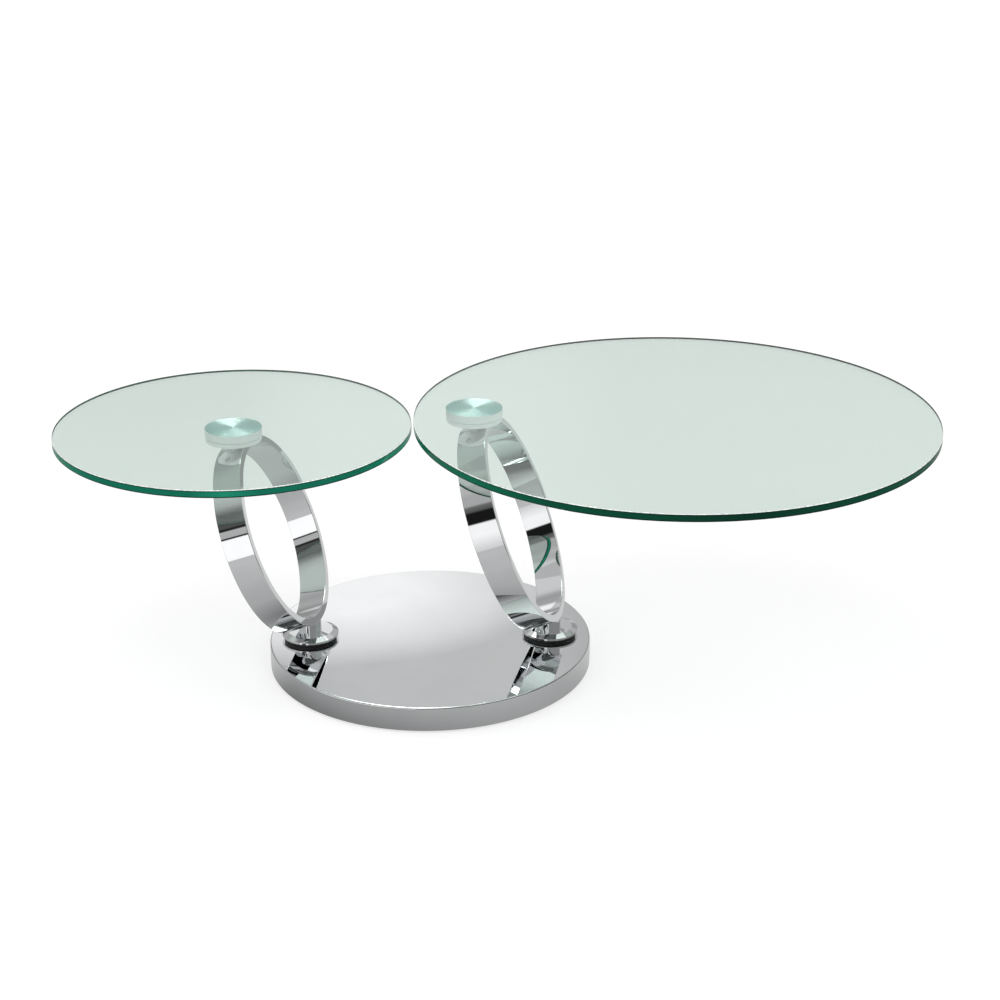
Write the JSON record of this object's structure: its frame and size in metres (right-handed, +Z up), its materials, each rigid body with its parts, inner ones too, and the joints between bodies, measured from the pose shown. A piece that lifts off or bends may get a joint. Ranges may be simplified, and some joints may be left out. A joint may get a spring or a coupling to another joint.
{
  "type": "swivel coffee table",
  "caption": "Low coffee table: round mirror base, leaning band-ring arms on swivels, round glass tops at staggered heights that turn out or stack over the base.",
  "frame": {"origin": "floor point at the centre of the round base", "axes": "+Z up; +X through both swivel axes, from the small top's arm to the large top's arm; the picture is taken from about -Y"},
  "size_m": [1.353, 0.7999, 0.4199],
  "materials": {
    "mirror_steel": "mirror polished plate",
    "turned_aluminium": "face-turned with fine concentric marks",
    "clear_glass": "clear tempered float glass with polished edge",
    "black_nylon": "smooth black",
    "bronze": "sintered bearing bronze",
    "plain_steel": "zinc plated",
    "black_steel": "black powder coat",
    "cast_filling": "cast weight, unseen",
    "felt": "dark needle felt"
  },
  "bodies": {
    "base": {"base_cover": "mirror_steel", "base_core": "cast_filling", "base_plate": "black_steel", "base_plate_screws": "plain_steel", "floor_pad": "felt", "small_swivel_washer": "black_nylon", "small_swivel_bush": "bronze", "large_swivel_washer": "black_nylon", "large_swivel_bush": "bronze"},
    "small_arm": {"small_spindle": "plain_steel", "small_retainer_washer": "plain_steel", "small_lock_nut": "plain_steel", "small_flange": "mirror_steel", "small_neck": "mirror_steel", "small_ring": "mirror_steel", "small_boss": "mirror_steel", "small_lower_disc": "turned_aluminium", "small_disc_screws": "plain_steel", "small_upper_disc": "turned_aluminium", "small_glass_top": "clear_glass"},
    "large_arm": {"large_spindle": "plain_steel", "large_retainer_washer": "plain_steel", "large_lock_nut": "plain_steel", "large_flange": "mirror_steel", "large_neck": "mirror_steel", "large_ring": "mirror_steel", "large_boss": "mirror_steel", "large_lower_disc": "turned_aluminium", "large_disc_screws": "plain_steel", "large_upper_disc": "turned_aluminium", "large_glass_top": "clear_glass"}
  },
  "joints": [
    {"name": "small_arm_swivel", "type": "hinge", "parent": "base", "child": "small_arm", "pos_m": [-0.191, 0, 0.041], "axis": [0, 0, 1], "range_deg": [-50, 70]},
    {"name": "large_arm_swivel", "type": "hinge", "parent": "base", "child": "large_arm", "pos_m": [0.191, 0, 0.041], "axis": [0, 0, 1], "continuous": true}
  ]
}
